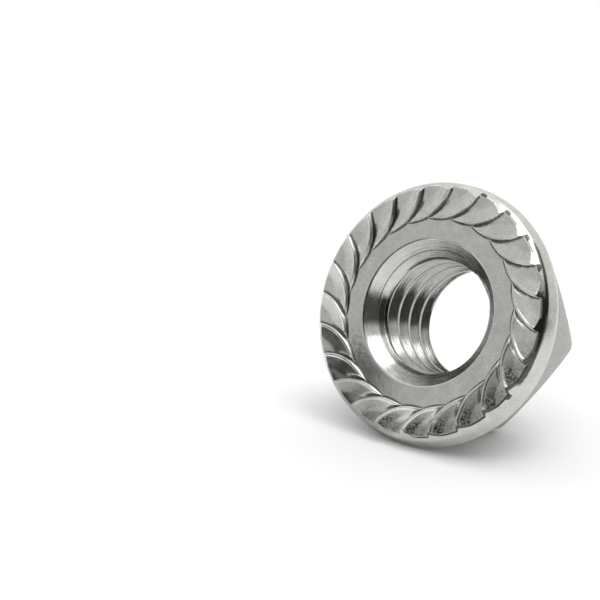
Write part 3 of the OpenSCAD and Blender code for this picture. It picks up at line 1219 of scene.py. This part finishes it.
height = metal.times(mottle, FORGED_RELIEF, metal.math("SUBTRACT", 1.0, cut_zone))
height = metal.math("MULTIPLY_ADD", grain, GRAIN_RELIEF, height)
height = metal.math("MULTIPLY_ADD", metal.times(ridges, cut_zone), RIDGE_RELIEF, height)
height = metal.math("MULTIPLY_ADD", metal.times(pitted_and_shaded, pits), PIT_RELIEF, height)
relief = metal.node("ShaderNodeBump")
relief.inputs["Strength"].default_value = 1.0
relief.inputs["Distance"].default_value = RELIEF_DEPTH * MM
metal.put(height, relief.inputs["Height"])
metal.put(relief.outputs[0], shader.inputs["Normal"])
print("nodes in the steel:", len(steel.node_tree.nodes))

# %% [markdown]
# Bright metal has no colour pattern of its own: what the eye reads on it is the studio around it.
# The nut was taken in a light tent. Its cloth is pale all round, a little brighter ahead, on the
# right and overhead, and darker at the left. It has a strong softbox above and behind the camera,
# two smaller ones, and a dark opening where the camera looks in. All of that is far off, so it can
# be painted on the world: every patch is a mask of the angle between the ray and one direction.
# One tent lights the paper and shows in the steel, so shadow and highlights agree. Only the camera
# itself sees plain white. Directions are turns to the right of the camera's heading and heights
# above the floor, both in degrees.

# %% The light tent, painted on the world
CLOTH = 0.75
# Turn and height of a patch's middle, the angles where it ends and is full, and what it adds.
CLOTH_PATCHES = ((20, 15, 100, 30, 0.21), (30, 82, 40, 8, 0.22), (-108, 14, 32, 8, -0.13))
SOFTBOXES = ((129, 67, 17.5, 15.5), (-158, 64, 12, 8), (85, 78, 12, 9))
SOFTBOX_LEVEL = 2.4
OPENING_SIDES = ((108, 0.24), (238, 0.5))  # turn of each edge and how soft it is
OPENING_TOP = (41, 36)  # heights where the opening ends and is full
OPENING_DARK = 0.88

world = bpy.data.worlds.new("light tent")
bpy.context.scene.world = world
world.use_nodes = True
world.node_tree.nodes.clear()
tent = Graph(world.node_tree)
ray = tent.node("ShaderNodeTexCoord").outputs["Generated"]


def towards(turn, height):
    """The direction at a turn to the right of the camera's heading, and at a height."""
    t = math.radians(turn)
    h = math.radians(height)
    flat = heading * math.cos(t) + level_right * math.sin(t)
    return flat * math.cos(h) + Vector((0, 0, math.sin(h)))


def tent_patch(turn, height, end, full):
    """A round mask about one direction: 0 past the first angle, 1 within the second one."""
    near = tent.vector("DOT_PRODUCT", ray, towards(turn, height), out=1)
    return tent.step(near, math.cos(math.radians(end)), math.cos(math.radians(full)))


(first_edge, first_soft), (last_edge, last_soft) = OPENING_SIDES
flat_ray = tent.vector("NORMALIZE", tent.vector("MULTIPLY", ray, (1, 1, 0)))
past_first = tent.vector("DOT_PRODUCT", flat_ray, towards(first_edge + 90, 0), out=1)
before_last = tent.vector("DOT_PRODUCT", flat_ray, towards(last_edge - 90, 0), out=1)
ray_height = tent.vector("DOT_PRODUCT", ray, (0, 0, 1), out=1)
opening = tent.times(
    tent.step(past_first, 0.0, first_soft),
    tent.step(before_last, 0.0, last_soft),
    tent.step(ray_height, *(math.sin(math.radians(a)) for a in OPENING_TOP)),
)

level = CLOTH
for *patch, added in CLOTH_PATCHES:
    level = tent.math("MULTIPLY_ADD", tent_patch(*patch), added, level)
level = tent.times(level, tent.math("MULTIPLY_ADD", opening, -OPENING_DARK, 1.0))
softboxes = tent.strongest(*(tent_patch(*box) for box in SOFTBOXES))
level = tent.math("MULTIPLY_ADD", softboxes, SOFTBOX_LEVEL, level)
seen = tent.node("ShaderNodeLightPath").outputs["Is Camera Ray"]
background = tent.node("ShaderNodeBackground")
tent.put(tent.mix(seen, level, (1, 1, 1, 1)), background.inputs["Color"])
tent.put(background.outputs[0], tent.node("ShaderNodeOutputWorld").inputs[0])
print("nodes in the tent:", len(world.node_tree.nodes))

# %% [markdown]
# The floor is a sheet of white paper that goes on for ever. It is plain and pale for the light that
# falls on it, and the nut's soft shadow stays on it. For the camera it gets a little glow, so that
# the paper away from the nut is as white as the background behind it.


# %% Floor
def flat_piece(name, corners, colour, roughness):
    """A flat piece of the studio with a plain material of its own."""
    mesh = bpy.data.meshes.new(name)
    mesh.from_pydata(corners, [], [range(len(corners))])
    piece = bpy.data.objects.new(name, mesh)
    bpy.context.scene.collection.objects.link(piece)
    material = bpy.data.materials.new(name)
    material.use_nodes = True
    cover = material.node_tree.nodes["Principled BSDF"]
    cover.inputs["Base Color"].default_value = colour
    cover.inputs["Roughness"].default_value = roughness
    mesh.materials.append(material)
    return piece, material, cover


FLOOR_HALF = 2.0
FLOOR_GLOW = 0.04
PAPER, PAPER_ROUGHNESS = (0.95, 0.95, 0.95, 1), 0.9
corners = [(x * FLOOR_HALF, y * FLOOR_HALF, 0) for x, y in ((-1, -1), (1, -1), (1, 1), (-1, 1))]
floor, paper, cover = flat_piece("floor", corners, PAPER, PAPER_ROUGHNESS)
cover.inputs["Specular IOR Level"].default_value = 0.0
cover.inputs["Emission Color"].default_value = (1, 1, 1, 1)
sheet = Graph(paper.node_tree)
seen = sheet.node("ShaderNodeLightPath").outputs["Is Camera Ray"]
sheet.put(sheet.times(seen, FLOOR_GLOW), cover.inputs["Emission Strength"])
print("the floor is", 2 * FLOOR_HALF, "m wide")

# %% [markdown]
# The lower left scales are dark, because they mirror a dark card that stands on the paper beside
# the nut. It is only there for reflections: the camera and the light on the paper do not see it.

# %% Dark card
CARD_AT = (-14.3, -17.3)
CARD_OUTLINE = ((-7, 0), (3.6, 0), (3.6, 11.5), (1, 10.5), (-2.5, 7), (-5.5, 4.8))
CARD_COLOUR, CARD_ROUGHNESS = (0.045, 0.045, 0.055, 1), 0.8
foot = Vector((*CARD_AT, 0))
toward_nut = -foot.normalized()
beside = Vector((toward_nut.y, -toward_nut.x, 0))
corners = [(foot + beside * x + Vector((0, 0, z))) * MM for x, z in CARD_OUTLINE]
card, _, _ = flat_piece("dark_card", corners, CARD_COLOUR, CARD_ROUGHNESS)
card.visible_camera = False
card.visible_diffuse = False
card.visible_shadow = False
print("the card stands", round(foot.length, 1), "mm from the nut's middle")

# %% [markdown]
# At the end the view transform is set to Standard.

# %% Finish
bpy.context.scene.view_settings.view_transform = "Standard"
